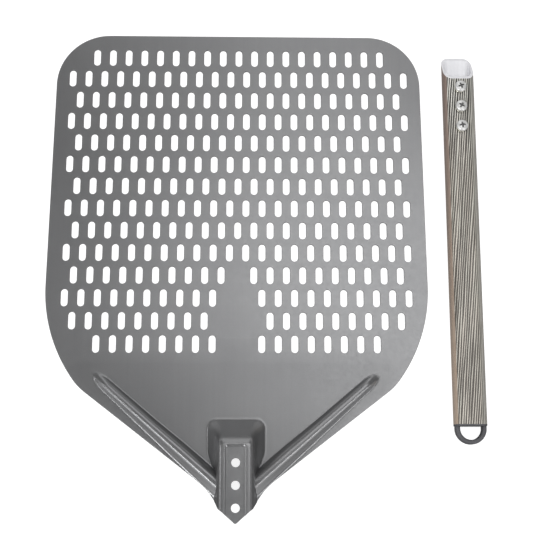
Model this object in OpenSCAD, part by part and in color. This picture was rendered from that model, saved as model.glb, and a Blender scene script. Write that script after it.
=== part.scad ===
// Perforated pizza peel with its handle taken off.
// A pressed aluminium blade with a raised hood and tongue at its neck, and an
// aluminium tube handle that slides under the tongue and is held by three
// screws in rivet nuts. The handle lies loose beside the blade.
//
// Origin: underside of the blade, on its centre line, in the plain land between
// the hood and the slots. +Y points to the front edge, +X to the side that the
// handle lies on, +Z up. Lengths "ahead" are measured along +Y from a
// point just inside the tip of the tongue.

/* [Blade] */
// Width of the blade at its front edge
blade_front_w = 304; // [290:1:310]
// Width of the blade at the start of its lower corners
blade_rear_w = 310; // [300:1:316]
// Length of the blade, from the tongue to the front edge
blade_l = 401.4; // [390:0.2:420]
// Thickness of the sheet
sheet_t = 1.5; // [1.2:0.1:1.6]
// Radius of the two front corners
front_corner_r = 44; // [20:1:50]
// Radius of the two rear corners where they leave the sides
rear_corner_r = 126; // [80:1:130]

/* [Slots] */
// Width of a slot
slot_w = 5.7; // [4:0.1:7]
// Length of a slot
slot_l = 14.2; // [10:0.2:16]
// Distance between slots in a row
slot_pitch_x = 13.25; // [12.8:0.05:13.4]
// Distance between rows
slot_pitch_y = 18.7; // [17:0.1:18.8]
// Distance ahead of the tip of the rear row
rear_row_ahead = 138.5; // [134:0.5:141]

/* [Neck] */
// Distance ahead of the tip of the middle screw hole
screw_ahead = 28; // [27:0.5:29]
// Distance between screw holes
screw_pitch = 17; // [16:0.5:17]
// Diameter of a screw hole in the tongue
screw_hole_d = 6.8; // [6:0.1:7]
// Half the width of the hood at its foot
hood_foot_w = 24.2; // [22:0.1:25]
// Distance ahead of the tip of the hood's front foot
hood_toe_ahead = 80.7; // [80.5:0.1:83]

/* [Handle] */
// Width of the handle tube
tube_w = 25.4; // [24.4:0.1:25.6]
// Height of the handle tube
tube_h = 18; // [17:0.1:18.4]
// Radius of the tube's long edges
tube_r = 6.3; // [5.8:0.1:6.5]
// Wall of the tube
tube_wall = 2; // [1.5:0.1:2.2]
// Length of the tube's upper face
tube_upper_l = 284.2; // [200:0.1:300]
// Extra length of the tube's lower face, from the slanted cut of its mouth
mouth_run = 25; // [20:0.5:25]
// Distance from the slanted mouth's upper lip to the front screw
lip_to_screw = 8.2; // [7.5:0.1:8.2]
// Sideways distance of the loose handle from the blade's centre line
handle_x = 183.4; // [180:0.1:200]
// Distance ahead of the tip of the loose handle's middle screw
handle_ahead = 333.6; // [310:0.1:340]

/* [Hanging loop] */
// Width of the loop's band
loop_band = 3.6; // [3:0.1:5]
// Height of the loop, across its band
loop_h = 8; // [6:0.5:12]
// Length of the loop's straight sides
loop_straight = 2; // [1:0.1:6]
// Thickness of the plug's flange
flange_t = 1.3; // [1:0.1:2]
// Length of the plug inside the tube
plug_l = 22; // [12:1:30]

/* [Hidden] */

eps = 0.01;
tip_y = -105;                     // where lengths "ahead" start
rows = 14;
row_slots_odd = 21;
tube_corner_z = tube_h - tube_r;    // height of the tube's edge centres

// the hood stands clear of the tube, and a flat strip of its top is pressed down onto the nuts
hood_side_gap = 0.35;
hood_top_gap = 1.15;
nut_flange_t = 0.5;
strip_gap = 0.1;
strip_w = 7.9;                    // half width of the pressed strip
strip_front = 59.6;               // front of the pressed strip
strip_corner_r = 4;
strip_grow = 0.6;                 // the strip is this much wider on the hood's underside
strip_under_z = tube_h + nut_flange_t + strip_gap;
strip_top_z = strip_under_z + sheet_t;
hood_inner_r = 3.15;
hood_outer_r = hood_inner_r + sheet_t;
hood_flat_w = tube_w / 2 + hood_side_gap - hood_inner_r;  // half width of the hood's flat top
hood_corner_z = tube_h + hood_top_gap - hood_inner_r;     // height of its edge centres
hood_lean_z = tube_h - 3.3;       // the side walls lean outward below this height
neck_foot_w = 16.5;               // half width of the neck's foot behind the hood
neck_tail = -4;                   // the neck's forms run out past the tip, to be cut to the outline
neck_steps = [-4, 12, 20, 28, 34, 38, 42, 46, 50, 54];
ramp_run = 0.84;                  // the ramp's level run for each unit of rise
ramp_shift = sheet_t * sqrt(1 + ramp_run * ramp_run);  // the sheet's thickness measured level
hood_corner_r = 7;
hood_corner_loss = 0.2;           // the corner's radius lost for each unit of rise
foot_inset = 1.9;                 // level thickness of the hood's slanted side wall
neck_cut = [[-10, -1], [20, -1], [9.5, 16.6], [-10, 16.6]];  // [ahead, z] of the edge's wedge
neck_from = 34;                   // the foot widens from here ...
neck_to = 56;                     // ... to here, ahead of the tip

screw_hole_r = screw_hole_d / 2;
nut_r = 3.48;
nut_seat_r = 3.5;
nut_bore_r = 2.5;
nut_flange_r = 4.3;
nut_l = 11;
nut_clear = 0.03;
nut_bulge_h = 2.2;
nut_bulge_r = nut_flange_r + 0.3;
shank_r = 2.42;
shank_l = 11;
head_r = 4.75;
head_h = 3.4;
head_dome = 1.6;                  // height of the head's domed part
cross_l = 5;
cross_w = 1.3;
cross_depth = 2;
head_seat_z = strip_top_z + 0.05;

plug_gap = 0.1;
plug_wall = 2;
plug_solid = 3;                   // length of the plug that isn't hollow
loop_r = tube_w / 2 - 0.5;
end_y = tip_y + handle_ahead + screw_pitch + lip_to_screw - tube_upper_l;

grey = [0.46, 0.46, 0.47];
film = [0.52, 0.49, 0.45];
steel = [0.78, 0.79, 0.80];
zinc = [0.70, 0.68, 0.58];
plastic = [0.27, 0.27, 0.29];

// ---- outline helpers ----

function arc(c, r, a0, a1, n) = [for (i = [0:n])
    let (a = a0 + (a1 - a0) * i / n) c + r * [cos(a), sin(a)]];

function unit(v) = v / norm(v);

// points of one vertex v = [x, y, r] rounded to radius r between its neighbours a and b
function rounded_vertex(a, v, b, n) =
    let (p = [v[0], v[1]],
         ua = unit([a[0], a[1]] - p),
         ub = unit([b[0], b[1]] - p),
         half = acos(ua * ub) / 2,
         c = p + unit(ua + ub) * v[2] / sin(half),
         sa = p + ua * v[2] / tan(half) - c,
         sb = p + ub * v[2] / tan(half) - c,
         a0 = atan2(sa[1], sa[0]),
         turn = atan2(sb[1], sb[0]) - a0,
         a1 = a0 + (turn > 180 ? turn - 360 : turn < -180 ? turn + 360 : turn))
    arc(c, v[2], a0, a1, n);

function rounded(vs, n) = [for (i = [0:len(vs) - 1]) each
    rounded_vertex(vs[(i + len(vs) - 1) % len(vs)], vs[i], vs[(i + 1) % len(vs)], n)];

function mirrored(vs) = [for (i = [len(vs) - 1:-1:0]) [-vs[i][0], vs[i][1], vs[i][2]]];

// ---- blade ----

// right half of the blade's outline, as corners [x, ahead, radius]
tip_corner = [0, -1.1, 1.5];
shoulder = [13.2, 10.6, 3];
neck_corner = [23.3, 25.9, 42];
rear_corner = [126.6, 104.9, 49];
side_corner_ahead = 146.3;
half_outline = [
    shoulder,
    neck_corner,
    rear_corner,
    [blade_rear_w / 2, side_corner_ahead, rear_corner_r],
    [blade_front_w / 2, blade_l, front_corner_r]
];

module blade_outline() {
    translate([0, tip_y])
        polygon(rounded(concat([tip_corner], half_outline, mirrored(half_outline)), 12));
}

module slot() {
    straight = slot_l - slot_w;
    square([slot_w, straight], center = true);
    for (s = [-1, 1])
        translate([0, s * straight / 2]) circle(d = slot_w, $fn = 32);
}

// rows are counted from the front; odd ones have a slot on the centre line
module slots() {
    for (row = [1:rows]) {
        count = row_slots_odd + (row % 2 == 1 ? 0 : 1);
        side_skip = row == 1 ? 1 : row == rows ? 2 : 0;
        centre_skip = row == rows ? 2 : max(0, row - 10);
        middle = (count - 1) / 2;
        for (i = [side_skip:count - 1 - side_skip])
            if (abs(i - middle) >= centre_skip / 2)
                translate([(i - middle) * slot_pitch_x,
                           tip_y + rear_row_ahead + (rows - row) * slot_pitch_y])
                    slot();
    }
}

function smooth(t) = let (c = max(0, min(1, t))) c * c * (3 - 2 * c);

// half width of the hood over the tube's rounded edge, at height z
function crown_w(r, z) = hood_flat_w + sqrt(max(0, r * r - pow(max(0, z - hood_corner_z), 2)));

// half width of the hood at height z, where foot is its half width at height 0
function wall_w(foot, r, z) =
    let (lean = max(0, 1 - z / hood_lean_z))
    min(crown_w(r, z) + lean * (foot - crown_w(r, 0)), foot);

// one level ring of the hood, as points [x, y, z], anticlockwise from its tail
function hood_half_ring(r, foot, neck_foot, toe, z) =
    let (corner = hood_corner_r - hood_corner_loss * max(0, z),
         wide = wall_w(foot, r, z),
         narrow = wall_w(neck_foot, r, z),
         front = toe - z * ramp_run)
    concat([for (a = neck_steps)
                [narrow + (wide - narrow) * smooth((a - neck_from) / (neck_to - neck_from)), a]],
           arc([wide - corner, front - corner], corner, 0, 90, 6));

function hood_ring(r, foot, neck_foot, toe, z) =
    let (half = hood_half_ring(r, foot, neck_foot, toe, z), n = len(half))
    [for (i = [0:2 * n - 1])
        let (p = i < n ? half[i] : half[2 * n - 1 - i])
        [i < n ? p[0] : -p[0], tip_y + p[1], z]];

// solid of the hood's outer or inner surface, stacked from level rings
module hood_solid(r, foot, neck_foot, toe, low) {
    levels = concat([low],
                    [for (k = [1:3]) hood_lean_z * k / 3],
                    [for (a = [0:15:75]) hood_corner_z + r * sin(a)],
                    [hood_corner_z + r]);
    rings = [for (z = levels) hood_ring(r, foot, neck_foot, toe, z)];
    n = len(rings[0]);
    last = len(levels) - 1;
    caps = [for (i = [0:n / 2 - 2]) [i, i + 1, n - 2 - i, n - 1 - i]];
    polyhedron(
        points = [for (ring = rings) each ring],
        faces = concat(
            caps,
            [for (k = [0:last - 1]) for (i = [0:n - 1])
                let (a = k * n + i, b = k * n + (i + 1) % n) each [[a, a + n, b + n], [a, b + n, b]]],
            [for (q = caps) [for (j = [3:-1:0]) last * n + q[j]]]));
}

// everything above the pressed strip, from height z up
module strip_well(grow, z) {
    w = strip_w + grow;
    front = strip_front + grow;
    corner = strip_corner_r + grow;
    translate([0, tip_y, z])
        linear_extrude(hood_corner_z + hood_outer_r + 1 - z)
            polygon(concat([[-w, neck_tail - 1], [w, neck_tail - 1]],
                           arc([w - corner, front - corner], corner, 0, 90, 8),
                           arc([corner - w, front - corner], corner, 90, 180, 8)));
}

module hood_outside() {
    difference() {
        hood_solid(hood_outer_r, hood_foot_w, neck_foot_w, hood_toe_ahead, 0);
        strip_well(0, strip_top_z);
    }
}

module hood_inside() {
    difference() {
        hood_solid(hood_inner_r, hood_foot_w - foot_inset, neck_foot_w - sheet_t,
                   hood_toe_ahead - ramp_shift, -1);
        strip_well(strip_grow, strip_under_z);
    }
}

// ends of a stiffening rib: [x, ahead, height, foot radius, crest radius]
rib_outer_end = [104.5, 106.5, 5.6, 6.5, 2.6];
rib_inner_end = [28.5, 43.5, 9, 7.8, 3.4];
rib_inset = 1.7;                  // level thickness of a rib's slanted wall

module rib_end(end, inset, drop) {
    translate([end[0], tip_y + end[1], -drop])
        cylinder(h = end[2], r1 = end[3] - inset, r2 = end[4] - inset * 0.6, $fn = 32);
}

// one stiffening rib, from its shallow outer end to its deep end at the neck
module rib(inset, drop) {
    hull() {
        rib_end(rib_outer_end, inset, drop);
        rib_end(rib_inner_end, inset, drop);
    }
}

module both_ribs(inset, drop) {
    rib(inset, drop);
    mirror([1, 0, 0]) rib(inset, drop);
}

// the free edge of the neck climbs from the sheet to the tongue along this wedge
module neck_edge_cut() {
    translate([-30, 0, 0])
        rotate([90, 0, 90])
            linear_extrude(60)
                polygon([for (p = neck_cut) [tip_y + p[0], p[1]]]);
}

module blade() {
    color(grey)
        difference() {
            intersection() {
                linear_extrude(hood_corner_z + hood_outer_r + 1) blade_outline();
                union() {
                    translate([0, tip_y + blade_l / 2, sheet_t / 2])
                        cube([blade_rear_w + 10, blade_l + 10, sheet_t], center = true);
                    both_ribs(0, 0);
                    hood_outside();
                }
            }
            translate([0, 0, -1]) linear_extrude(sheet_t + 2) slots();
            both_ribs(rib_inset, sheet_t);
            hood_inside();
            neck_edge_cut();
            for (k = [-1:1])
                translate([0, tip_y + screw_ahead + k * screw_pitch, tube_corner_z])
                    cylinder(h = 20, r = screw_hole_r, $fn = 48);
        }
}

// ---- handle ----

// upright rounded rectangle, seen along the tube, with its foot at height 0
module tube_section(inset) {
    r = tube_r - inset;
    w = tube_w - 2 * inset;
    h = tube_h - 2 * inset;
    translate([0, tube_h / 2]) {
        square([w - 2 * r, h], center = true);
        square([w, h - 2 * r], center = true);
        for (sx = [-1, 1], sz = [-1, 1])
            translate([sx * (w / 2 - r), sz * (h / 2 - r)]) circle(r, $fn = 64);
    }
}

// extrudes a section along +Y from y for a length l, on the handle's centre line
module along_handle(y, l) {
    translate([handle_x, y + l, 0]) rotate([90, 0, 0]) linear_extrude(l) children();
}

module at_screw(k) {
    translate([handle_x, tip_y + handle_ahead + k * screw_pitch, 0]) children();
}

module handle_tube() {
    lower_l = tube_upper_l + mouth_run;
    color(film)
        difference() {
            along_handle(end_y, lower_l) tube_section(0);
            along_handle(end_y - 1, lower_l + 2) tube_section(tube_wall);
            translate([handle_x - 20, end_y, 0])
                rotate([90, 0, 90])
                    linear_extrude(40)
                        polygon([[tube_upper_l - mouth_run / tube_h, tube_h + 1],
                                 [lower_l + mouth_run / tube_h, -1],
                                 [lower_l + 30, -1], [lower_l + 30, tube_h + 1]]);
            for (k = [-1:1])
                at_screw(k) translate([0, 0, tube_h - tube_wall - 1])
                    cylinder(h = tube_wall + 2, r = nut_seat_r, $fn = 48);
        }
}

// plug pressed into the tube's rear end, in one moulding with its flange and loop
module end_plug_loop() {
    color(plastic) {
        difference() {
            union() {
                along_handle(end_y - eps, plug_l) tube_section(tube_wall + plug_gap);
                along_handle(end_y - flange_t, flange_t) tube_section(0);
            }
            along_handle(end_y + plug_solid, plug_l) tube_section(tube_wall + plug_gap + plug_wall);
        }
        translate([handle_x, end_y - flange_t, (tube_h - loop_h) / 2])
            linear_extrude(loop_h)
                difference() {
                    union() {
                        translate([-loop_r, -loop_straight]) square([2 * loop_r, loop_straight + eps]);
                        translate([0, -loop_straight]) circle(loop_r, $fn = 96);
                    }
                    translate([0, -loop_straight]) circle(loop_r - loop_band, $fn = 96);
                    translate([loop_band - loop_r, -loop_straight])
                        square([2 * (loop_r - loop_band), loop_straight - 0.2]);
                    translate([-20, 0]) square([40, 20]);
                }
    }
}

// blind-set rivet nut: thin flange on the tube, barrel through the wall, bulge under it
module rivet_nut(k) {
    wall_under = tube_h - tube_wall;
    color(zinc)
        at_screw(k)
            difference() {
                union() {
                    translate([0, 0, tube_h + nut_clear])
                        cylinder(h = nut_flange_t - nut_clear, r = nut_flange_r, $fn = 48);
                    translate([0, 0, tube_h + nut_flange_t - nut_l])
                        cylinder(h = nut_l, r = nut_r, $fn = 48);
                    translate([0, 0, wall_under - nut_clear - nut_bulge_h])
                        cylinder(h = nut_bulge_h, r = nut_bulge_r, $fn = 48);
                }
                translate([0, 0, tube_h - nut_l - 1]) cylinder(h = nut_l + 4, r = nut_bore_r, $fn = 48);
            }
}

// pan-head machine screw with a cross recess
module screw(k) {
    dome_r = (head_r * head_r + head_dome * head_dome) / (2 * head_dome);
    color(steel)
        at_screw(k)
            translate([0, 0, head_seat_z])
                difference() {
                    union() {
                        cylinder(h = head_h - head_dome, r = head_r, $fn = 64);
                        intersection() {
                            cylinder(h = head_h, r = head_r, $fn = 64);
                            translate([0, 0, head_h - dome_r]) sphere(dome_r, $fn = 128);
                        }
                        translate([0, 0, -shank_l]) cylinder(h = shank_l + 1, r = shank_r, $fn = 48);
                    }
                    for (a = [0, 90])
                        rotate([0, 0, a])
                            translate([-cross_l / 2, -cross_w / 2, head_h - cross_depth])
                                cube([cross_l, cross_w, cross_depth + 1]);
                }
}

blade();
handle_tube();
end_plug_loop();
rivet_nut(1);  // rivet_nut_front
rivet_nut(0);  // rivet_nut_middle
rivet_nut(-1);  // rivet_nut_rear
screw(1);  // screw_front
screw(0);  // screw_middle
screw(-1);  // screw_rear
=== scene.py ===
"""Looks of the pizza peel: pressed blade, loose handle, hanging loop, rivet nuts and screws.

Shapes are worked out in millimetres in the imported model's frame and scaled to metres when a
mesh is made. "ahead" is the distance along +Y from the pointed tip of the blade's tongue.
"""
import math

import bmesh
import bpy
import numpy as np
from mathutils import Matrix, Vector, geometry, kdtree


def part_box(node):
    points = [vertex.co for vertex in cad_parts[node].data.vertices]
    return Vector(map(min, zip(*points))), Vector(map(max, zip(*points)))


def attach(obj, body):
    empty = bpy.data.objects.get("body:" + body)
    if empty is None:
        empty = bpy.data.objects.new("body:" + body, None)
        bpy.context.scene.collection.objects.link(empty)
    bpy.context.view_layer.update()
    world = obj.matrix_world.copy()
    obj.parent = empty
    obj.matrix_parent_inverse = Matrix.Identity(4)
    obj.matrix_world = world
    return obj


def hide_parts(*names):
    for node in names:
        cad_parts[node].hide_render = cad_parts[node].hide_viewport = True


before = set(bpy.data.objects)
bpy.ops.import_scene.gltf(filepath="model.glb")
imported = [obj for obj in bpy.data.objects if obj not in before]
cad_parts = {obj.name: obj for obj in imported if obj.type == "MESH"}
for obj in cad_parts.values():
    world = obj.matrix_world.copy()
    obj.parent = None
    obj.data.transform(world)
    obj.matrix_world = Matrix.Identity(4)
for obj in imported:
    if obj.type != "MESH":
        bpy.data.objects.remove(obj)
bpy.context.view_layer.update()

MM = 0.001

# ---------------------------------------------------------------- sizes, in mm


def box_mm(node):
    low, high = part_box(node)
    return [v / MM for v in low], [v / MM for v in high]


blade_high = box_mm("blade")[1]
tube_low, tube_high = box_mm("handle_tube")

BLADE_L = 401.4                  # from just inside the tongue's tip, where lengths "ahead" start
TIP_Y = blade_high[1] - BLADE_L
FRONT_HALF = 152.0               # half widths at the front edge and at the lower corners
REAR_HALF = 155.0
SHEET = 1.5
EDGE_R = 0.3                     # broken edge of the outline, slots and holes

ROWS = 14
SLOT_W, SLOT_L = 5.7, 14.2
PITCH_X, PITCH_Y = 13.25, 18.7
REAR_ROW = 138.5                 # middle of the rearmost row of slots
LONG_ROW = 22                    # slots in an even row; an odd one has one slot less
SCREW_AHEAD = (45.0, 28.0, 11.0)
HOLE_R = 3.4

TUBE_W = tube_high[0] - tube_low[0]
TUBE_H = tube_high[2]
TUBE_R = 6.3
TUBE_WALL = 2.0
INNER_W, INNER_H, INNER_R = TUBE_W - 2 * TUBE_WALL, TUBE_H - 2 * TUBE_WALL, TUBE_R - TUBE_WALL
NUT_SEAT_R, SEAT_SIDES = 3.5, 40
FILM, BARE, CUT = 0, 1, 2        # material slots of the tube
CORE_W = TUBE_W / 2 - TUBE_R
CORNER_Z = TUBE_H - TUBE_R
MOUTH_RUN = 25.0
HANDLE_X = (tube_low[0] + tube_high[0]) / 2
TUBE_END_Y = tube_low[1]
LOWER_L = tube_high[1] - tube_low[1]
UPPER_L = LOWER_L - MOUTH_RUN

# the hood's middle surface: flat top, rounded long edges, and the strip pressed into its top
SHELL_FLAT_W, SHELL_R, SHELL_TOP = 10.3, 3.5, 19.9
STRIP_W, STRIP_FRONT, STRIP_CORNER, STRIP_LEAD = 7.9, 59.8, 4.0, 2.6
STRIP_MID_Z = 19.33
VALLEY_DEPTH = 0.052

FLANGE_T = 1.3
LOOP_BAND, LOOP_H, LOOP_STRAIGHT = 3.6, 8.0, 2.0
LOOP_R = TUBE_W / 2 - 0.5


# ---------------------------------------------------------------- mesh helpers


def mesh_object(name, verts, faces, body, nodes=(), normals=None, smooth=True):
    """One piece from points in mm, riding on a body and standing for its CAD node."""
    mesh = bpy.data.meshes.new(name)
    mesh.from_pydata([[c * MM for c in v] for v in np.asarray(verts, float).tolist()], [], faces)
    mesh.validate()
    mesh.update()
    if smooth:
        mesh.polygons.foreach_set("use_smooth", [True] * len(mesh.polygons))
    if normals is not None:
        mesh.normals_split_custom_set_from_vertices(np.asarray(normals, float).tolist())
    obj = bpy.data.objects.new(name, mesh)
    bpy.context.scene.collection.objects.link(obj)
    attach(obj, body)
    if nodes:
        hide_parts(*nodes)
    return obj


def arc(cx, cy, r, a0, a1, n):
    return [[cx + r * math.cos(a0 + (a1 - a0) * i / n), cy + r * math.sin(a0 + (a1 - a0) * i / n)]
            for i in range(n + 1)]


def rounded_polygon(corners):
    """Points of a polygon whose corners [x, y, radius] are rounded."""
    out = []
    count = len(corners)
    for i, (x, y, r) in enumerate(corners):
        p = np.array([x, y])
        a = np.array(corners[i - 1][:2]) - p
        b = np.array(corners[(i + 1) % count][:2]) - p
        a, b = a / np.linalg.norm(a), b / np.linalg.norm(b)
        half = math.acos(float(a @ b)) / 2
        c = p + (a + b) / np.linalg.norm(a + b) * r / math.sin(half)
        start = p + a * r / math.tan(half) - c
        end = p + b * r / math.tan(half) - c
        a0 = math.atan2(start[1], start[0])
        turn = (math.atan2(end[1], end[0]) - a0 + math.pi) % (2 * math.pi) - math.pi
        out += arc(c[0], c[1], r, a0, a0 + turn, max(6, int(abs(turn) * r / 1.2)))
    return np.array(out)


def resample(loop, step_at):
    """Closed loop with points about step_at(x, y) apart."""
    out = []
    count = len(loop)
    for i in range(count):
        a, b = loop[i], loop[(i + 1) % count]
        gap = np.linalg.norm(b - a)
        mid = (a + b) / 2
        pieces = max(1, int(math.ceil(gap / step_at(mid[0], mid[1]) - 0.01)))
        out += [a + (b - a) * k / pieces for k in range(pieces)]
    return np.array(out)


def thin_out(loop, step_at):
    """Closed loop without points that crowd closer than about half the wanted step."""
    kept = [loop[0]]
    for p in loop[1:]:
        if np.linalg.norm(p - kept[-1]) > 0.55 * step_at(p[0], p[1]):
            kept.append(p)
    if np.linalg.norm(kept[-1] - kept[0]) < 0.3:
        kept.pop()
    return np.array(kept)


def outward(loop):
    """Unit vectors to the right of the direction of travel, at each point of a closed loop."""
    t = np.roll(loop, -1, 0) - np.roll(loop, 1, 0)
    t /= np.linalg.norm(t, axis=1)[:, None]
    return np.stack([t[:, 1], -t[:, 0]], 1)


def smoothstep(t):
    t = np.clip(t, 0, 1)
    return t * t * (3 - 2 * t)


def inside(points, loop):
    """Which points lie inside a closed loop."""
    x, y = points[:, 0][:, None], points[:, 1][:, None]
    ax, ay = loop[:, 0], loop[:, 1]
    bx, by = np.roll(ax, -1), np.roll(ay, -1)
    crosses = (ay > y) != (by > y)
    with np.errstate(divide="ignore", invalid="ignore"):
        at = (bx - ax) * (y - ay) / (by - ay) + ax
    return (crosses & (x < at)).sum(1) % 2 == 1


def blur(field, sigma):
    """Gaussian blur of a raster, sigma in cells."""
    reach = int(math.ceil(3 * sigma))
    k = np.exp(-0.5 * (np.arange(-reach, reach + 1) / sigma) ** 2)
    k /= k.sum()
    for axis in (0, 1):
        pad = [(0, 0), (0, 0)]
        pad[axis] = (reach, reach)
        wide = np.pad(field, pad, mode="edge")
        size = field.shape[axis]
        field = sum(w * np.take(wide, range(i, i + size), axis) for i, w in enumerate(k))
    return field


# ---------------------------------------------------------------- the blade's middle surface

CELL = 0.2
X0, X1, A0, A1 = -128.0, 128.0, -6.0, 130.0
grid_x = np.arange(X0, X1 + CELL / 2, CELL)
grid_a = np.arange(A0, A1 + CELL / 2, CELL)


def cover(distance):
    """Share of a raster cell inside an edge, from the distance inside it."""
    return np.clip(distance / CELL + 0.5, 0, 1)


def rounded_inside(x, a, wide, front, corner):
    """Distance inside a shape with side walls at |x| = wide and a front wall with round corners."""
    qx, qa = x - (wide - corner), a - (front - corner)
    round_part = corner - np.hypot(np.maximum(qx, 0), np.maximum(qa, 0))
    return np.where((qx > 0) & (qa > 0), round_part, np.minimum(wide - x, front - a))


def valley(outside):
    """The sheet is drawn down a little beside a raised form, at this distance outside its foot."""
    return VALLEY_DEPTH * np.exp(-((outside - 1.0) / 0.75) ** 2)


def hood_field(x, a):
    """Height of the hood, built up from level slices."""
    foot, neck_foot, toe, ramp = 23.3, 15.8, 79.5, 0.915
    spread = smoothstep((a - 34) / (56 - 34))
    height = np.full(x.shape, SHEET / 2)
    levels = np.linspace(SHEET / 2, SHELL_TOP, 150)
    for low, high in zip(levels[:-1], levels[1:]):
        z = (low + high) / 2
        over = max(0.0, z - (SHELL_TOP - SHELL_R))
        round_off = SHELL_R - math.sqrt(max(0.0, SHELL_R ** 2 - over ** 2))
        crown = SHELL_FLAT_W + SHELL_R - round_off
        flare = max(0.0, 1 - z / (CORNER_Z + 3)) ** 1.7
        wide = crown + flare * (foot - crown)
        narrow = crown + flare * (neck_foot - crown)
        side = np.minimum(narrow, wide) + (wide - np.minimum(narrow, wide)) * spread
        d = rounded_inside(x, a, side, toe - ramp * z - 0.7 * round_off, 7 - 0.2 * z)
        height += (high - low) * cover(d)
    outside = -rounded_inside(x, a, neck_foot + (foot - neck_foot) * spread, toe, 7)
    return height - valley(outside)


# one rib, from its shallow pointed end to its deep end under the hood
RIB_TIP = np.array([114.8, 115.6])
RIB_ALONG = np.array([-0.7612, -0.6486])
RIB_ACROSS = np.array([-0.6486, 0.7612])


def rib_field(x, a):
    """Height of a rib over the sheet: long soft front flank, crest, steep rear flank."""
    dx, da = x - RIB_TIP[0], a - RIB_TIP[1]
    s = dx * RIB_ALONG[0] + da * RIB_ALONG[1]
    d = dx * RIB_ACROSS[0] + da * RIB_ACROSS[1]
    open_up = np.sqrt(np.clip(1 - (1 - np.clip(s / 13, 0, 1)) ** 2, 0, 1))
    rise = smoothstep(s / 17)
    front = open_up * np.interp(s, [0, 20, 65, 95], [4.5, 4.7, 4.9, 5.9]) + 1e-3
    crest_edge = open_up * (1.5 + 0.010 * s) + 1e-3
    rear = open_up * (5.0 + 0.046 * s) + 1e-3
    crest = np.minimum(3.7 + 0.028 * s, 6.8) * rise
    q = np.maximum(d, 0) / front
    p = np.maximum(-d, 0)
    front_part = np.interp(q, [0, 0.2, 0.4, 0.6, 0.75, 0.9, 1.0], [1, 0.97, 0.86, 0.60, 0.36, 0.12, 0])
    plateau = np.interp(p / crest_edge, [0, 0.35, 0.62, 0.85, 1.0], [1, 0.992, 0.950, 0.985, 0.955])
    with np.errstate(divide="ignore", invalid="ignore"):
        down = (p - crest_edge) / (rear - crest_edge)
    flank = np.interp(down, [0, 0.42, 0.70, 0.85, 1], [0.955, 0.45, 0.13, 0.04, 0])
    rear_part = np.where(p < crest_edge, plateau, flank)
    rib = crest * np.where(d > 0, front_part, rear_part)
    return np.where(s > 0, rib - rise * valley(d - front), 0)


# hood and ribs run into each other over BLEND mm of height, with a small fillet in between
HOOD_REACH = 34
HOOD_SOFT, RIB_SOFT, STRIP_SOFT = 0.75, 0.5, 0.35
BLEND = 1.6
FILLET_FROM = 1.2

gx, ga = np.meshgrid(grid_x, grid_a)
near = (np.abs(grid_x) <= HOOD_REACH)
height = np.full(gx.shape, SHEET / 2)
height[:, near] = hood_field(np.abs(gx[:, near]), ga[:, near])
height = blur(height, HOOD_SOFT / CELL)
ribs = blur(SHEET / 2 + rib_field(np.abs(gx), ga), RIB_SOFT / CELL)
gap = np.clip(0.5 + 0.5 * (height - ribs) / BLEND, 0, 1)
fillet = np.clip((np.minimum(height, ribs) - SHEET / 2) / FILLET_FROM, 0, 1)
fillet *= BLEND * gap * (1 - gap) * (1 - np.abs(2 * gap - 1)) * 0.5
height = ribs * (1 - gap) + height * gap + fillet
strip = cover(rounded_inside(np.abs(gx), ga, STRIP_W, STRIP_FRONT, STRIP_CORNER))
strip = blur(strip, STRIP_SOFT / CELL)
strip *= smoothstep((STRIP_FRONT - ga) / STRIP_LEAD)
height = height * (1 - strip) + STRIP_MID_Z * strip
slope_a, slope_x = np.gradient(height, CELL)
bend = np.abs(np.gradient(slope_a, CELL, axis=0)) + np.abs(np.gradient(slope_x, CELL, axis=1))


def sample(field, pts, flat=0.0):
    """Bilinear reading of a raster at points [x, ahead]; flat outside it."""
    u = (pts[:, 0] - X0) / CELL
    v = (pts[:, 1] - A0) / CELL
    ok = (u >= 0) & (v >= 0) & (u < len(grid_x) - 1.001) & (v < len(grid_a) - 1.001)
    u, v = np.where(ok, u, 0), np.where(ok, v, 0)
    i, j = u.astype(int), v.astype(int)
    fu, fv = u - i, v - j
    value = (field[j, i] * (1 - fu) * (1 - fv) + field[j, i + 1] * fu * (1 - fv)
             + field[j + 1, i] * (1 - fu) * fv + field[j + 1, i + 1] * fu * fv)
    return np.where(ok, value, flat)


def middle(pts):
    """Points on the blade's middle surface and their upward unit normals."""
    z = sample(height, pts, SHEET / 2)
    n = np.stack([-sample(slope_x, pts), -sample(slope_a, pts), np.ones(len(pts))], 1)
    n /= np.linalg.norm(n, axis=1)[:, None]
    return np.stack([pts[:, 0], pts[:, 1] + TIP_Y, z], 1), n


# ---------------------------------------------------------------- blade mesh


def outline_step(x, a):
    """Wanted distance between points of the outline: short where the neck bends."""
    return 0.4 if a < 30 else 0.8 if a < 60 else 2.5


def outline_loop():
    """The blade seen from above; each corner is [x, ahead, radius]."""
    half = [[13.2, 10.6, 3.0], [23.3, 25.9, 42.0], [126.6, 104.9, 49.0],
            [REAR_HALF, 146.3, 126.0], [FRONT_HALF, BLADE_L, 44.0]]
    corners = [[0.0, -1.1, 1.5]] + half + [[-x, a, r] for x, a, r in reversed(half)]
    return resample(thin_out(rounded_polygon(corners), outline_step), outline_step)


def slot_loop(x, a):
    r, straight = SLOT_W / 2, SLOT_L - SLOT_W
    turn = arc(x, a + straight / 2, r, math.pi, 0, 14) + arc(x, a - straight / 2, r, 0, -math.pi, 14)
    return np.array(turn)


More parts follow.
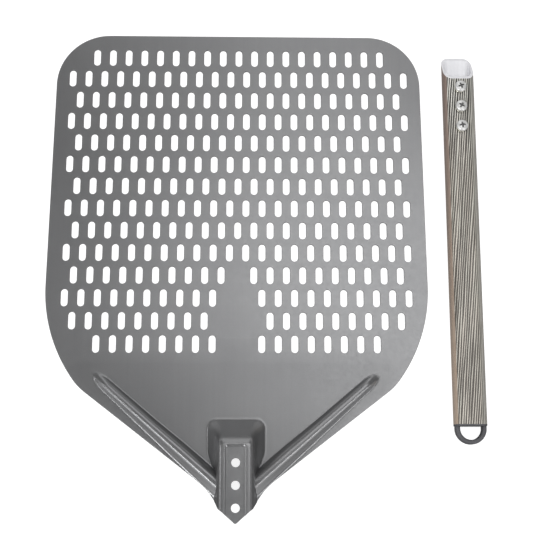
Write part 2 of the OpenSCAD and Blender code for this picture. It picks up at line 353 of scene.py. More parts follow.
def slot_loops():
    """Rows counted from the front, with the corners and the field ahead of the neck left free."""
    loops = []
    for row in range(1, ROWS + 1):
        count = LONG_ROW - row % 2
        side = {1: 1, ROWS: 2}.get(row, 0)
        centre = 2 if row == ROWS else max(0, row - 10)
        for i in range(side, count - side):
            off = i - (count - 1) / 2
            if abs(off) >= centre / 2:
                loops.append(slot_loop(off * PITCH_X, REAR_ROW + (ROWS - row) * PITCH_Y))
    return loops


def hole_loop(ahead):
    return np.array(arc(0, ahead, HOLE_R, 0, -2 * math.pi, 52)[:-1])


def make_blade():
    """The sheet: both faces triangulated between the outline and the openings, and their edges."""
    loops = [outline_loop()] + [hole_loop(a) for a in SCREW_AHEAD] + slot_loops()
    rims = 1 + len(SCREW_AHEAD)      # the loops that free points can come close to
    ways = [outward(loop) for loop in loops]
    insets = [loop - way * EDGE_R for loop, way in zip(loops, ways)]

    # free points: dense where the sheet bends, few on the flat
    lattice = []
    fine, reach, clear = 0.38, 126, 0.42
    for k, a in enumerate(np.arange(A0 + 1, reach, fine * math.sqrt(3) / 2)):
        xs = np.arange(-reach, reach, fine) + (fine / 2 if k % 2 else 0)
        lattice.append(np.stack([xs, np.full(len(xs), a), np.full(len(xs), k), np.arange(len(xs))], 1))
    lattice = np.concatenate(lattice)
    pts = lattice[:, :2]
    steep = np.hypot(sample(slope_x, pts), sample(slope_a, pts))
    curved = sample(bend, pts)
    k, i = lattice[:, 2].astype(int), lattice[:, 3].astype(int)
    half = (k % 2 == 0) & (i % 2 == 0)
    quarter = (k % 4 == 0) & (i % 4 == 0)
    sparse = (k % 12 == 0) & (i % 12 == 0) & (pts[:, 1] < REAR_ROW - SLOT_L / 2 - 2)
    keep = (curved > 0.12) | (steep > 1.4) | sparse
    keep |= ((steep > 0.05) & half) | ((steep > 0.0005) & quarter)
    pts = pts[keep]
    pts = pts[inside(pts, insets[0])]
    rim_points = np.concatenate(insets[:rims])
    fence = kdtree.KDTree(len(rim_points))
    for index, p in enumerate(rim_points):
        fence.insert((p[0], p[1], 0), index)
    fence.balance()
    far = np.array([fence.find((p[0], p[1], 0))[2] > clear for p in pts])
    pts = pts[far]
    for a in SCREW_AHEAD:
        pts = pts[np.hypot(pts[:, 0], pts[:, 1] - a) > HOLE_R + 0.6]

    coords, edges, starts = [], [], []
    for loop in insets:
        starts.append(len(coords))
        base, size = len(coords), len(loop)
        coords += [Vector(p) for p in loop]
        edges += [(base + j, base + (j + 1) % size) for j in range(size)]
    loop_of = np.concatenate([np.full(len(q), j) for j, q in enumerate(insets)])
    coords += [Vector(p) for p in pts]
    loop_of = np.concatenate([loop_of, np.full(len(pts), -1)])
    got = geometry.delaunay_2d_cdt(coords, edges, [], 1, 1e-7)
    flat = np.array([[v[0], v[1]] for v in got[0]])
    origin = [o[0] if len(o) else -1 for o in got[3]]
    place = {o: j for j, o in enumerate(origin)}
    tris = np.array([f for f in got[2] if len(f) == 3])
    owner = np.array([loop_of[o] if o >= 0 else -1 for o in origin])[tris]
    same = (owner[:, 0] == owner[:, 1]) & (owner[:, 1] == owner[:, 2]) & (owner[:, 0] >= 0)
    in_hole = same & (owner[:, 0] > 0)
    centre = flat[tris].mean(1)
    outer = same & (owner[:, 0] == 0)
    in_hole[outer] = ~inside(centre[outer], insets[0])
    tris = tris[~in_hole]
    turn = np.cross(flat[tris[:, 1]] - flat[tris[:, 0]], flat[tris[:, 2]] - flat[tris[:, 0]])
    tris[turn < 0] = tris[turn < 0][:, ::-1]

    mid, up = middle(flat)
    top, bottom = mid + up * SHEET / 2, mid - up * SHEET / 2
    verts, normals = [top, bottom], [up, -up]
    total = len(flat)
    faces = tris.tolist() + (tris[:, ::-1] + total).tolist()
    base = 2 * total
    for loop, way, start in zip(loops, ways, starts):
        size = len(loop)
        mid, up = middle(loop)
        side = np.concatenate([way, np.zeros((size, 1))], 1)
        side -= up * (side * up).sum(1)[:, None]
        side /= np.linalg.norm(side, axis=1)[:, None]
        verts += [mid + up * (SHEET / 2 - EDGE_R), mid - up * (SHEET / 2 - EDGE_R)]
        normals += [side, side]
        for j in range(size):
            nxt = (j + 1) % size
            ti, tn = place[start + j], place[start + nxt]
            a, b = base + j, base + nxt
            faces += [(ti, a, b, tn), (a, a + size, b + size, b),
                      (a + size, ti + total, tn + total, b + size)]
        base += 2 * size
    return mesh_object("blade_sheet", np.concatenate(verts), faces, "blade_body",
                       ["blade"], np.concatenate(normals))


# ---------------------------------------------------------------- handle tube


def section(w, h, r, n=10):
    """Upright rounded rectangle [x, z] from the right end of its flat top, clockwise from behind."""
    cx, cz = w / 2 - r, h / 2 - r
    pts = []
    for k, (sx, sz) in enumerate(((1, 1), (1, -1), (-1, -1), (-1, 1))):
        pts += arc(sx * cx, sz * cz, r, math.pi / 2 * (1 - k), math.pi / 2 * (0 - k), n)
    return np.array(pts) + [0, TUBE_H / 2]


def cut_y(z):
    """Where the slanted mouth cuts the tube at height z."""
    return TUBE_END_Y + UPPER_L + MOUTH_RUN * (1 - z / TUBE_H)


def make_tube():
    """Shell swept along its length, with drilled seats for the nuts in the flat top."""
    chamfer = 0.18
    rings = []
    outer, inner = section(TUBE_W, TUBE_H, TUBE_R), section(INNER_W, INNER_H, INNER_R)
    n = len(outer)
    way = outer - inner
    way /= np.linalg.norm(way, axis=1)[:, None]
    stations = np.concatenate([[0.0], np.linspace(8, UPPER_L - 8, 34)])

    def ring(shape, back, at=None):
        y = cut_y(shape[:, 1]) - back if at is None else np.full(n, TUBE_END_Y + at)
        return np.stack([shape[:, 0] + HANDLE_X, y, shape[:, 1]], 1)

    for s in stations:
        rings.append(ring(outer, 0, s))
    rings.append(ring(outer, chamfer))
    rings.append(ring(outer - way * chamfer, 0))
    rings.append(ring(inner + way * chamfer, 0))
    rings.append(ring(inner, chamfer))
    for s in stations[::-1]:
        rings.append(ring(inner, 0, s))
    verts = np.concatenate(rings)
    faces, film = [], []
    outer_rings = len(stations)
    total = len(rings)
    for k in range(total):
        nk = (k + 1) % total
        for i in range(n - 1):
            faces.append((k * n + i, nk * n + i, nk * n + i + 1, k * n + i + 1))
            film.append(k < outer_rings)

    # flat top with seats: outer face at the tube's height, ceiling one wall below
    seats = [SEAT_Y + (a - SCREW_AHEAD[1]) for a in SCREW_AHEAD]
    flat_index = []
    for side, ring_from, ring_to, z in ((0, 0, outer_rings, TUBE_H),
                                        (1, outer_rings + 3, total - 1, TUBE_H - TUBE_WALL)):
        right = [k * n for k in range(ring_from, ring_to + 1)]
        left = [k * n + n - 1 for k in range(ring_from, ring_to + 1)]
        loop = right + left[::-1]
        coords = [Vector((verts[v][0], verts[v][1])) for v in loop]
        ids = list(loop)
        edges = [(j, (j + 1) % len(loop)) for j in range(len(loop))]
        hole_starts = []
        extra = []
        for y in seats:
            hole_starts.append(len(coords))
            pts = arc(HANDLE_X, y, NUT_SEAT_R, 0, 2 * math.pi, SEAT_SIDES)[:-1]
            coords += [Vector(p) for p in pts]
            edges += [(hole_starts[-1] + j, hole_starts[-1] + (j + 1) % SEAT_SIDES)
                      for j in range(SEAT_SIDES)]
            ids += [len(verts) + len(extra) + j for j in range(SEAT_SIDES)]
            extra += [[p[0], p[1], z] for p in pts]
        got = geometry.delaunay_2d_cdt(coords, edges, [], 1, 1e-7)
        back = [o[0] for o in got[3]]
        for f in got[2]:
            src = [back[v] for v in f]
            if any(all(h <= v < h + SEAT_SIDES for v in src) for h in hole_starts):
                continue
            p = [coords[v] for v in src]
            area = (p[1] - p[0]).cross(p[2] - p[0])
            order = src if (area > 0) == (side == 0) else src[::-1]
            faces.append(tuple(ids[v] for v in order))
            film.append(side == 0)
        flat_index.append([len(verts) + SEAT_SIDES * j for j in range(len(seats))])
        verts = np.concatenate([verts, np.array(extra)])
    for top_start, low_start in zip(*flat_index):
        for j in range(SEAT_SIDES):
            nj = (j + 1) % SEAT_SIDES
            faces.append((top_start + nj, top_start + j, low_start + j, low_start + nj))
            film.append(False)
    # mouth rim and rear rim across the flat top
    for k, nk in ((outer_rings, outer_rings + 1), (outer_rings + 1, outer_rings + 2),
                  (outer_rings + 2, outer_rings + 3), (total - 1, 0)):
        faces.append((k * n + n - 1, nk * n + n - 1, nk * n, k * n))
        film.append(False)
    obj = mesh_object("handle_tube_shell", verts, faces, "handle_body", ["handle_tube"])
    mesh = obj.data
    for poly, covered in zip(mesh.polygons, film):
        cut_face = poly.normal.y > 0.3 and poly.normal.z > 0.5
        poly.material_index = FILM if covered else CUT if cut_face else BARE
    # film coordinates in mm: u round the tube from the middle of its top, v along it
    layer = mesh.uv_layers.new(name="film")
    for poly in mesh.polygons:
        under = abs(poly.normal.z) > 0.99 and poly.center.z / MM < TUBE_R
        for li in poly.loop_indices:
            co = mesh.vertices[mesh.loops[li].vertex_index].co / MM
            layer.data[li].uv = (wrap_length(co.x - HANDLE_X, co.z, under), co.y - TUBE_END_Y)
    mark_sharp(mesh, 32)
    return obj


def wrap_length(x, z, under):
    """Distance round the tube's section from the middle of its top, negative on the left."""
    sign = 1 if x >= 0 or under else -1
    quarter = math.pi / 2 * TUBE_R
    if z > CORNER_Z:
        beyond = abs(x) - CORE_W
        return x if beyond <= 0 else sign * (CORE_W + TUBE_R * math.atan2(beyond, z - CORNER_Z))
    if z > TUBE_R:
        return sign * (CORE_W + quarter + CORNER_Z - z)
    side = CORE_W + quarter + CORNER_Z - TUBE_R
    if under:
        return side + quarter + CORE_W - x
    return sign * (side + TUBE_R * math.atan2(TUBE_R - z, abs(x) - CORE_W))


def mark_sharp(mesh, degrees):
    """Smooth shading with creases where faces meet at more than an angle."""
    bm = bmesh.new()
    bm.from_mesh(mesh)
    for e in bm.edges:
        e.smooth = len(e.link_faces) != 2 or e.calc_face_angle(0) < math.radians(degrees)
    bm.to_mesh(mesh)
    bm.free()


# ---------------------------------------------------------------- hanging loop


def make_plug():
    """Flange and hollow insert lofted along the tube, and a rounded band swept round a D."""
    verts, faces = [], []
    rings = []

    def level(w, h, r, y):
        shape = section(w, h, r)
        along = np.full(len(shape), TUBE_END_Y + y)
        rings.append(np.stack([shape[:, 0] + HANDLE_X, along, shape[:, 1]], 1))

    soft = 0.35
    level(TUBE_W - 6, TUBE_H - 6, TUBE_R - 3, -FLANGE_T)
    level(TUBE_W - 2 * soft, TUBE_H - 2 * soft, TUBE_R - soft, -FLANGE_T)
    level(TUBE_W - 0.25 * soft, TUBE_H - 0.25 * soft, TUBE_R, -FLANGE_T + 0.3 * soft)
    level(TUBE_W, TUBE_H, TUBE_R, -FLANGE_T + soft)
    level(TUBE_W, TUBE_H, TUBE_R, -0.02)
    level(INNER_W - 0.2, INNER_H - 0.2, INNER_R - 0.1, -0.01)
    level(INNER_W - 0.2, INNER_H - 0.2, INNER_R - 0.1, 20.5)
    level(INNER_W - 1.2, INNER_H - 1.2, INNER_R - 0.5, 22.0)
    level(INNER_W - 4.2, INNER_H - 4.2, INNER_R - 2.1, 22.0)
    level(INNER_W - 4.2, INNER_H - 4.2, INNER_R - 2.1, 3.0)
    n = len(rings[0])
    for k, ring in enumerate(rings):
        verts += ring.tolist()
        if k:
            faces += [((k - 1) * n + i, k * n + i, k * n + (i + 1) % n, (k - 1) * n + (i + 1) % n)
                      for i in range(n)]
    faces.append(tuple(range(n))[::-1])
    faces.append(tuple(range((len(rings) - 1) * n, len(rings) * n)))
    faces = [f[::-1] for f in faces]

    # the D band: centre line from inside the flange round and back
    path_r = LOOP_R - LOOP_BAND / 2
    sink = 0.9
    y0 = TUBE_END_Y - FLANGE_T
    path = [[-path_r, sink], [-path_r, 0.0], [-path_r, -LOOP_STRAIGHT * 0.5]]
    path += arc(0, -LOOP_STRAIGHT, path_r, math.pi, 2 * math.pi, 56)
    path += [[path_r, -LOOP_STRAIGHT * 0.5], [path_r, 0.0], [path_r, sink]]
    path = np.array(path)
    t = np.gradient(path, axis=0)
    t /= np.linalg.norm(t, axis=1)[:, None]
    across = np.stack([t[:, 1], -t[:, 0]], 1)
    edge = 1.5
    round_box = []
    for k, (sx, sz) in enumerate(((1, 1), (-1, 1), (-1, -1), (1, -1))):
        round_box += arc(sx * (LOOP_BAND / 2 - edge), sz * (LOOP_H / 2 - edge), edge,
                         math.pi / 2 * k, math.pi / 2 * (k + 1), 6)
    round_box = np.array(round_box)
    m = len(round_box)
    start = len(verts)
    for p, w in zip(path, across):
        for q in round_box:
            xy = p + w * q[0]
            verts.append([HANDLE_X + xy[0], y0 + xy[1], TUBE_H / 2 + q[1]])
    for k in range(len(path) - 1):
        faces += [(start + k * m + i, start + k * m + (i + 1) % m, start + (k + 1) * m + (i + 1) % m,
                   start + (k + 1) * m + i) for i in range(m)]
    faces.append(tuple(start + i for i in range(m))[::-1])
    faces.append(tuple(start + (len(path) - 1) * m + i for i in range(m)))
    obj = mesh_object("hanging_loop_plug", verts, faces, "handle_body", ["end_plug_loop"])
    tidy_normals(obj.data)
    mark_sharp(obj.data, 40)
    return obj


def tidy_normals(mesh):
    """Face normals all to the outside."""
    bm = bmesh.new()
    bm.from_mesh(mesh)
    bmesh.ops.recalc_face_normals(bm, faces=bm.faces)
    bm.to_mesh(mesh)
    bm.free()


# ---------------------------------------------------------------- screws and rivet nuts

SEAT_Y = sum(box_mm("screw_middle")[i][1] for i in (0, 1)) / 2
HEAD_R, HEAD_H, SHANK_L = 4.75, 3.4, 11.0


def cross_depth(x, y, turn):
    """How deep the cross recess is at a point of the head."""
    c, s = math.cos(turn), math.sin(turn)
    u, v = x * c + y * s, -x * s + y * c
    depth = np.zeros(np.shape(u))
    for along, over in ((u, v), (v, u)):
        reach = np.clip((2.55 - np.abs(along)) / 0.45, 0, 1)
        wide = np.clip((0.62 + 0.10 * (2.5 - np.abs(along)) - np.abs(over)) / 0.16, 0, 1)
        depth = np.maximum(depth, reach * wide)
    middle_r = np.hypot(u, v)
    centre = np.clip((1.35 - middle_r) / 0.3, 0, 1)
    return 1.75 * np.maximum(depth * np.clip(1.15 - 0.16 * middle_r, 0, 1), centre)


def make_screw(name, node, body, turn):
    """Pan head with a cross recess as a fine polar height field, and a threaded shank."""
    low, high = box_mm(node)
    cx, cy = (low[0] + high[0]) / 2, (low[1] + high[1]) / 2
    seat = high[2] - HEAD_H
    verts, faces = [], []
    around = 144
    radii = np.concatenate([np.linspace(0.12, 3.0, 34), np.linspace(3.15, HEAD_R - 0.02, 14)])
    ang = np.arange(around) * 2 * math.pi / around

    def dome(r):
        full = HEAD_H
        edge_fall = 1.55 * (r / HEAD_R) ** 2.6
        lip = 0.45 * np.clip((r - (HEAD_R - 0.5)) / 0.5, 0, 1) ** 2
        return full - edge_fall - lip

    def add_ring(r, z):
        verts.extend([[cx + r * math.cos(t), cy + r * math.sin(t), zz]
                      for t, zz in zip(ang, np.broadcast_to(z, (around,)))])

    for r in radii:
        x, y = r * np.cos(ang), r * np.sin(ang)
        add_ring(r, seat + dome(r) - cross_depth(x, y, turn))
    for r, z in ((HEAD_R, dome(HEAD_R) - 0.15), (HEAD_R, 0.25), (HEAD_R - 0.22, 0.0), (2.42, 0.0)):
        add_ring(r, seat + z)
    top_rings = len(radii) + 4
    pitch, deep = 0.8, 0.36
    steps = 110
    for k in range(1, steps + 1):
        z = -SHANK_L * k / steps
        phase = (z / pitch - ang / (2 * math.pi)) % 1.0
        ridge = 1 - np.abs(2 * phase - 1)
        fade = min(1.0, -z / 0.8) * min(1.0, (SHANK_L + z) / 0.7)
        r = 2.42 - deep * (1 - ridge) * fade - 0.45 * max(0.0, (-z - SHANK_L + 0.5) / 0.5)
        verts.extend([[cx + rr * math.cos(t), cy + rr * math.sin(t), seat + z]
                      for t, rr in zip(ang, np.broadcast_to(r, (around,)))])
    rings = top_rings + steps
    for k in range(rings - 1):
        for i in range(around):
            j = (i + 1) % around
            faces.append((k * around + i, (k + 1) * around + i, (k + 1) * around + j, k * around + j))
    faces.append(tuple(range(around)))
    faces.append(tuple(range((rings - 1) * around, rings * around))[::-1])
    obj = mesh_object(name, verts, faces, body, [node])
    # faces deep in the cross recess take the second material, a dark steel that paints the shade in the
    # recess
    for poly in obj.data.polygons[:(len(radii) - 1) * around]:
        x, y = poly.center.x / MM - cx, poly.center.y / MM - cy
        poly.material_index = 1 if cross_depth(x, y, turn) > 0.5 else 0
    tidy_normals(obj.data)
    mark_sharp(obj.data, 38)
    return obj


def make_nut(name, node, body):
    """Turned profile: flange, knurled barrel, bulge under the wall and a bore."""
    low, high = box_mm(node)
    cx, cy = (low[0] + high[0]) / 2, (low[1] + high[1]) / 2
    top, foot = high[2], low[2]
    under = TUBE_H - TUBE_WALL
    profile = [(2.5, top - 0.25), (2.75, top), (4.1, top), (4.3, top - 0.16), (4.3, TUBE_H + 0.06),
               (4.2, TUBE_H + 0.03), (3.42, TUBE_H + 0.03), (3.42, under - 0.05), (4.2, under - 0.1),
               (4.55, under - 0.5), (4.6, under - 1.1), (4.4, under - 1.8), (3.48, under - 2.25),
               (3.48, foot + 0.3), (3.2, foot), (2.7, foot), (2.5, foot + 0.25)]
    around = 96
    verts, faces = [], []
    for r, z in profile:
        for i in range(around):
            t = 2 * math.pi * i / around
            knurl = 0.05 * math.cos(24 * t) if z < under - 2.2 and r > 3 else 0.0
            rr = r - 0.05 + knurl if knurl else r
            verts.append([cx + rr * math.cos(t), cy + rr * math.sin(t), z])
    count = len(profile)
    for k in range(count):
        nk = (k + 1) % count
        for i in range(around):
            j = (i + 1) % around
            faces.append((k * around + i, k * around + j, nk * around + j, nk * around + i))
    obj = mesh_object(name, verts, faces, body, [node])
    tidy_normals(obj.data)
    mark_sharp(obj.data, 35)
    return obj


# ---------------------------------------------------------------- materials


class Nodes:
    """Short way to build a material's node tree."""

    def __init__(self, name):
        self.mat = bpy.data.materials.new(name)
        self.mat.use_nodes = True
        self.tree = self.mat.node_tree
        self.tree.nodes.clear()
        self.out = self.add("ShaderNodeOutputMaterial")
        self.shader = self.add("ShaderNodeBsdfPrincipled")
        self.link(self.shader.outputs[0], self.out.inputs[0])

    def add(self, kind, **props):
        node = self.tree.nodes.new(kind)
        for key, value in props.items():
            setattr(node, key, value)
        return node

    def link(self, a, b):
        self.tree.links.new(a, b)

    def coords(self, scale, rotation=(0, 0, 0), source="Object", offset=(0, 0, 0)):
        tex = self.add("ShaderNodeTexCoord")
        mapping = self.add("ShaderNodeMapping")
        mapping.inputs["Location"].default_value = offset
        mapping.inputs["Rotation"].default_value = rotation
        mapping.inputs["Scale"].default_value = scale
        self.link(tex.outputs[source], mapping.inputs["Vector"])
        return mapping.outputs[0]

    def noise(self, vector, scale, detail=4.0, rough=0.55, distort=0.0):
        node = self.add("ShaderNodeTexNoise")
        node.inputs["Scale"].default_value = scale
        node.inputs["Detail"].default_value = detail
        node.inputs["Roughness"].default_value = rough
        node.inputs["Distortion"].default_value = distort
        self.link(vector, node.inputs["Vector"])
        return node.outputs["Fac"]

    def ramp(self, value, stops):
        node = self.add("ShaderNodeValToRGB")
        ends = node.color_ramp.elements
        while len(ends) < len(stops):
            ends.new(0.5)
        for element, (at, colour) in zip(ends, stops):
            element.position = at
            element.color = (*colour, 1.0) if isinstance(colour, tuple) else (colour, colour, colour, 1.0)
        self.link(value, node.inputs[0])
        return node.outputs[0]

    def spread(self, value, low, high, out_low, out_high):
        node = self.add("ShaderNodeMapRange")
        for key, number in (("From Min", low), ("From Max", high),
                            ("To Min", out_low), ("To Max", out_high)):
            node.inputs[key].default_value = number
        self.link(value, node.inputs["Value"])
        return node.outputs[0]

    def mix(self, fac, a, b, blend="MIX"):
        node = self.add("ShaderNodeMix", data_type="RGBA", blend_type=blend)
        for value, key in ((fac, 0), (a, 6), (b, 7)):
            if isinstance(value, (int, float)):
                node.inputs[key].default_value = value
            elif isinstance(value, tuple):
                node.inputs[key].default_value = (*value, 1.0)
            else:
                self.link(value, node.inputs[key])
        return node.outputs[2]

    def maths(self, operation, a, b=0.0):
        node = self.add("ShaderNodeMath", operation=operation)
        for value, key in ((a, 0), (b, 1)):
            if isinstance(value, (int, float)):
                node.inputs[key].default_value = value
            else:
                self.link(value, node.inputs[key])
        return node.outputs[0]

    def bump(self, height, strength, distance, before=None):
        node = self.add("ShaderNodeBump")
        node.inputs["Strength"].default_value = strength
        node.inputs["Distance"].default_value = distance
        self.link(height, node.inputs["Height"])
        if before is not None:
            self.link(before, node.inputs["Normal"])
        return node.outputs[0]

    def set(self, **values):
        for key, value in values.items():
            socket = self.shader.inputs[key.replace("_", " ")]
            if isinstance(value, (int, float)):
                socket.default_value = value
            elif isinstance(value, tuple):
                socket.default_value = (*value, 1.0)
            else:
                self.link(value, socket)
        return self.mat


def anodised():
    m = Nodes("blade_anodised")
    at = m.coords((1, 1, 1))
    fine = m.noise(at, 1400, 3, 0.6)
    grain = m.noise(at, 420, 5, 0.6)
    cloud = m.noise(at, 11, 3, 0.5)
    rolled = m.noise(m.coords((260, 9, 60)), 1.0, 3, 0.6)
    tone = m.mix(m.spread(cloud, 0.35, 0.65, 0, 1), (0.270, 0.272, 0.278), (0.300, 0.301, 0.306))
    tone = m.mix(m.spread(rolled, 0.3, 0.7, 0, 0.22), tone, (0.235, 0.237, 0.243))
    tone = m.mix(m.spread(fine, 0.3, 0.75, 0, 0.20), tone, (0.40, 0.40, 0.41))
    # lighter colour along sharp convex edges, read from Pointiness
    edge = m.add("ShaderNodeNewGeometry").outputs["Pointiness"]
    edge_lightening = m.spread(edge, 0.505, 0.56, 0, 0.30)
    tone = m.mix(edge_lightening, tone, (0.46, 0.46, 0.47))
    rough = m.spread(grain, 0.3, 0.7, 0.29, 0.37)
    relief = m.bump(fine, 0.25, 0.00004)
    relief = m.bump(cloud, 0.35, 0.0006, relief)
    return m.set(Base_Color=tone, Metallic=0.92, Roughness=rough, Normal=relief)


def film():
    """Printed stripes in mm round and along the tube: a plain brown band on the left side."""
    m = Nodes("handle_film")
    tex = m.add("ShaderNodeTexCoord")
    split = m.add("ShaderNodeSeparateXYZ")
    m.link(tex.outputs["UV"], split.inputs[0])
    u, v = split.outputs[0], split.outputs[1]
    lean = m.maths("SUBTRACT", u, m.maths("MULTIPLY", v, 0.095))

    def field(across, along, scale_across, scale_along, detail, seed=0.0):
        join = m.add("ShaderNodeCombineXYZ")
        m.link(m.maths("MULTIPLY", across, scale_across), join.inputs[0])
        m.link(m.maths("MULTIPLY", along, scale_along), join.inputs[1])
        join.inputs[2].default_value = seed
        return m.noise(join.outputs[0], 1.0, detail, 0.6)

    wander = field(lean, v, 0.22, 0.012, 2)
    count = m.maths("ADD", m.maths("MULTIPLY", lean, 1 / 1.9), m.maths("MULTIPLY", wander, 1.3))
    phase = m.maths("FRACT", count)
    each = field(m.maths("FLOOR", count), v, 5.37, 0.016, 2, 4.0)
    line = m.ramp(phase, [(0.0, 0.0), (0.22, 0.06), (0.36, 0.80), (0.46, 1.0), (0.56, 0.92), (0.67, 0.36),
                          (0.80, 0.08), (1.0, 0.0)])
    streak = field(lean, v, 2.6, 0.05, 5, 9.0)
    line = m.maths("ADD", line, m.spread(each, 0.3, 0.7, -0.34, 0.22))
    line = m.maths("ADD", line, m.spread(streak, 0.3, 0.7, -0.28, 0.28))
    mouth = m.spread(v, 205, 285, 0, 1)
    dark = m.mix(mouth, (0.070, 0.061, 0.052), (0.022, 0.021, 0.020))
    light = m.mix(mouth, (0.52, 0.48, 0.42), (0.72, 0.70, 0.65))
    tint = field(lean, v, 0.5, 0.02, 3, 2.0)
    light = m.mix(m.spread(tint, 0.4, 0.65, 0, 0.5), light, (0.42, 0.44, 0.39))
    stripes = m.mix(m.spread(line, 0.12, 0.86, 0, 1), dark, light)
    grey = m.mix(m.spread(streak, 0.3, 0.7, 0, 1), (0.13, 0.125, 0.11), (0.38, 0.37, 0.34))
    right = m.spread(u, 7.0, 9.5, 0, 0.65)
    stripes = m.mix(right, stripes, grey)
    tan_streak = field(u, v, 2.2, 0.03, 4, 5.0)
    tan = m.mix(m.spread(v, 60, 270, 1, 0), (0.17, 0.115, 0.10), (0.30, 0.225, 0.17))
    tan = m.mix(m.spread(tan_streak, 0.35, 0.7, 0, 0.55), tan, (0.36, 0.31, 0.26))
    left = m.spread(m.maths("ADD", u, m.spread(wander, 0, 1, -0.6, 0.6)), -11.4, -10.8, 1, 0)
    colour = m.mix(left, stripes, tan)
    return m.set(Base_Color=colour, Roughness=m.spread(streak, 0.3, 0.7, 0.36, 0.48), Coat_Weight=0.15,
                 Coat_Roughness=0.3, Normal=m.bump(streak, 0.10, 0.00004))


def bare_metal(name, tint, rough_low, rough_high, lines, metallic=1.0):
    m = Nodes(name)
    at = m.coords((1, 1, 1))
    brushed = m.noise(m.coords(lines), 1.0, 4, 0.6)
    spots = m.noise(at, 900, 3, 0.6)
    tone = m.mix(m.spread(brushed, 0.3, 0.7, 0, 0.35), tint, tuple(0.72 * c for c in tint))
    tone = m.mix(m.spread(spots, 0.45, 0.7, 0, 0.2), tone, tuple(min(1.0, 1.12 * c) for c in tint))
    rough = m.spread(brushed, 0.3, 0.7, rough_low, rough_high)
    return m.set(Base_Color=tone, Metallic=metallic, Roughness=rough,
                 Normal=m.bump(brushed, 0.15, 0.00003, m.bump(spots, 0.1, 0.00002)))


def moulded():
    m = Nodes("loop_plastic")
    at = m.coords((1, 1, 1))
    grain = m.noise(at, 1600, 2, 0.5)
    flow = m.noise(m.coords((60, 160, 60)), 1.0, 3, 0.5)
    cells = m.add("ShaderNodeTexVoronoi")
    cells.inputs["Scale"].default_value = 1500
    m.link(at, cells.inputs["Vector"])
    tone = m.mix(m.spread(flow, 0.3, 0.7, 0, 1), (0.050, 0.050, 0.055), (0.068, 0.068, 0.074))
    tone = m.mix(m.spread(grain, 0.4, 0.7, 0, 0.25), tone, (0.095, 0.095, 0.10))
    return m.set(Base_Color=tone, Roughness=m.spread(grain, 0.3, 0.7, 0.42, 0.56),
                 Normal=m.bump(cells.outputs["Distance"], 0.22, 0.00005))


# ---------------------------------------------------------------- the object

blade = make_blade()
tube = make_tube()
plug = make_plug()
turns = {"front": 0.35, "middle": 1.05, "rear": 0.15}
screws = [make_screw(f"pan_screw_{k}", f"screw_{k}", f"screw_{k}_body", turn)
          for k, turn in turns.items()]
nuts = [make_nut(f"nut_{k}", f"rivet_nut_{k}", "nut_carrier" if k == "middle" else "handle_body")
        for k in turns]

blade.data.materials.append(anodised())
tube.data.materials.append(film())
tube.data.materials.append(bare_metal("bare_aluminium", (0.92, 0.92, 0.95), 0.40, 0.55,
                                      (300, 12, 300), 0.45))
tube.data.materials.append(bare_metal("cut_aluminium", (0.97, 0.97, 0.98), 0.45, 0.60,
                                      (300, 300, 12), 0.15))
plug.data.materials.append(moulded())
steel = bare_metal("screw_steel", (0.84, 0.84, 0.83), 0.34, 0.46, (500, 500, 200), 0.7)
zinc = bare_metal("nut_steel", (0.72, 0.69, 0.58), 0.28, 0.42, (400, 400, 200))
# dark steel for the cross recess: painted shade in the recess, the screw's own steel is the same as the
# head
recess = bare_metal("screw_recess_painted_shade", (0.20, 0.20, 0.20), 0.40, 0.55, (500, 500, 200), 0.8)
for obj in screws:
    obj.data.materials.append(steel)
    obj.data.materials.append(recess)
for obj in nuts:
    obj.data.materials.append(zinc)

# ---------------------------------------------------------------- floor, light and camera

floor_mesh = bpy.data.meshes.new("floor")
FLOOR_HALF, FLOOR_Z = 6.0, -0.0003
floor_corners = [(x * FLOOR_HALF, y * FLOOR_HALF, FLOOR_Z) for x, y in ((-1, -1), (1, -1), (1, 1), (-1, 1))]
floor_mesh.from_pydata(floor_corners, [], [(0, 1, 2, 3)])
floor = bpy.data.objects.new("floor", floor_mesh)
bpy.context.scene.collection.objects.link(floor)
paper = Nodes("floor_paper")
paper_noise = paper.noise(paper.coords((1, 1, 1)), 180, 3, 0.5)
paper_tone = paper.mix(paper_noise, (0.30, 0.30, 0.30), (0.33, 0.33, 0.33))
floor_mesh.materials.append(paper.set(Base_Color=paper_tone, Roughness=0.9, Specular_IOR_Level=0.1,
                                      Emission_Color=(1.0, 1.0, 1.0), Emission_Strength=0.85))
floor.visible_glossy = False

world = bpy.data.worlds.new("studio")
bpy.context.scene.world = world
world.use_nodes = True
sky = world.node_tree.nodes["Background"]
sky.inputs["Color"].default_value = (1, 1, 1, 1)
ray = world.node_tree.nodes.new("ShaderNodeLightPath")
seen = world.node_tree.nodes.new("ShaderNodeMapRange")      # dim room, white backdrop
seen.inputs["To Min"].default_value = 0.14
world.node_tree.links.new(ray.outputs["Is Camera Ray"], seen.inputs["Value"])
world.node_tree.links.new(seen.outputs["Result"], sky.inputs["Strength"])


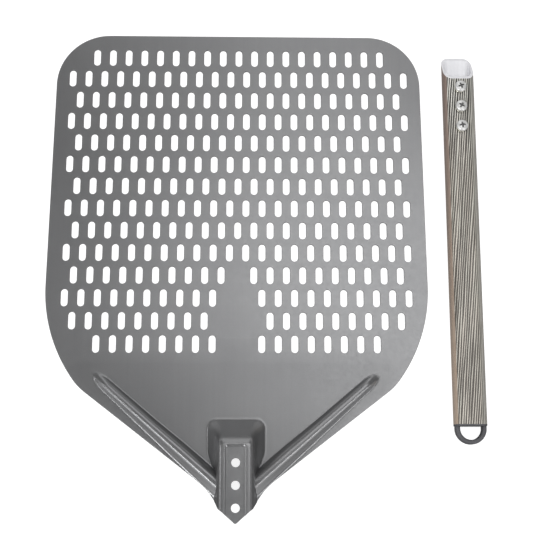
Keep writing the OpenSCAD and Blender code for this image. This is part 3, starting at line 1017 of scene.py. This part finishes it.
def softbox(name, place, aim, size, radiance, glossy=True):
    data = bpy.data.lights.new(name, "AREA")
    data.shape = "RECTANGLE"
    data.size, data.size_y = size
    data.energy = math.pi * size[0] * size[1] * radiance
    lamp = bpy.data.objects.new(name, data)
    lamp.location = place
    lamp.rotation_euler = (Vector(aim) - Vector(place)).to_track_quat("-Z", "Y").to_euler()
    lamp.visible_glossy = glossy
    bpy.context.scene.collection.objects.link(lamp)


softbox("over", (0.30, 0.34, 1.5), (0.1, 0.1, 0), (0.94, 0.76), 1.44)
softbox("south_west", (-0.62, -0.80, 1.00), (0.0, 0.0, 0), (0.50, 0.32), 10.5)
softbox("south_east", (0.80, -0.75, 1.00), (0.05, 0.0, 0), (0.45, 0.32), 6.0)
softbox("low_south_west", (-1.05, -1.05, 0.38), (0.0, 0.0, 0.1), (1.5, 0.74), 1.45)
softbox("low_south_east", (1.15, -1.00, 0.38), (0.0, 0.0, 0.1), (1.5, 0.74), 1.2)
softbox("west", (-0.95, 0.0, 0.95), (0.0, 0.0, 0), (0.25, 0.5), 2.4)
softbox("low_west", (-1.50, 0.20, 0.50), (0.0, 0.1, 0.1), (1.0, 0.8), 0.35)
softbox("low_east", (1.60, 0.20, 0.50), (0.0, 0.1, 0.1), (1.0, 0.8), 0.15)
softbox("north", (0.0, 1.40, 0.90), (0.0, 0.1, 0.2), (0.8, 1.4), 0.8)
softbox("low_north_west", (-0.90, 1.25, 0.36), (0.0, 0.1, 0.1), (1.4, 0.7), 0.42)
softbox("low_north_east", (0.95, 1.25, 0.36), (0.0, 0.1, 0.1), (1.4, 0.7), 0.42)
softbox("fill", (0.05, 0.1, 2.2), (0.05, 0.1, 0), (2.5, 2.5), 2.2, glossy=False)

camera = bpy.data.cameras.new("camera")
camera.lens = 66.96
camera.sensor_width = 36
view = bpy.data.objects.new("camera", camera)
view.location = (0.01401, -0.07270, 0.81486)
view.rotation_euler = (math.radians(11.311), math.radians(-1.159), math.radians(-0.012))
bpy.context.scene.collection.objects.link(view)
bpy.context.scene.camera = view
bpy.context.scene.view_settings.view_transform = "Standard"
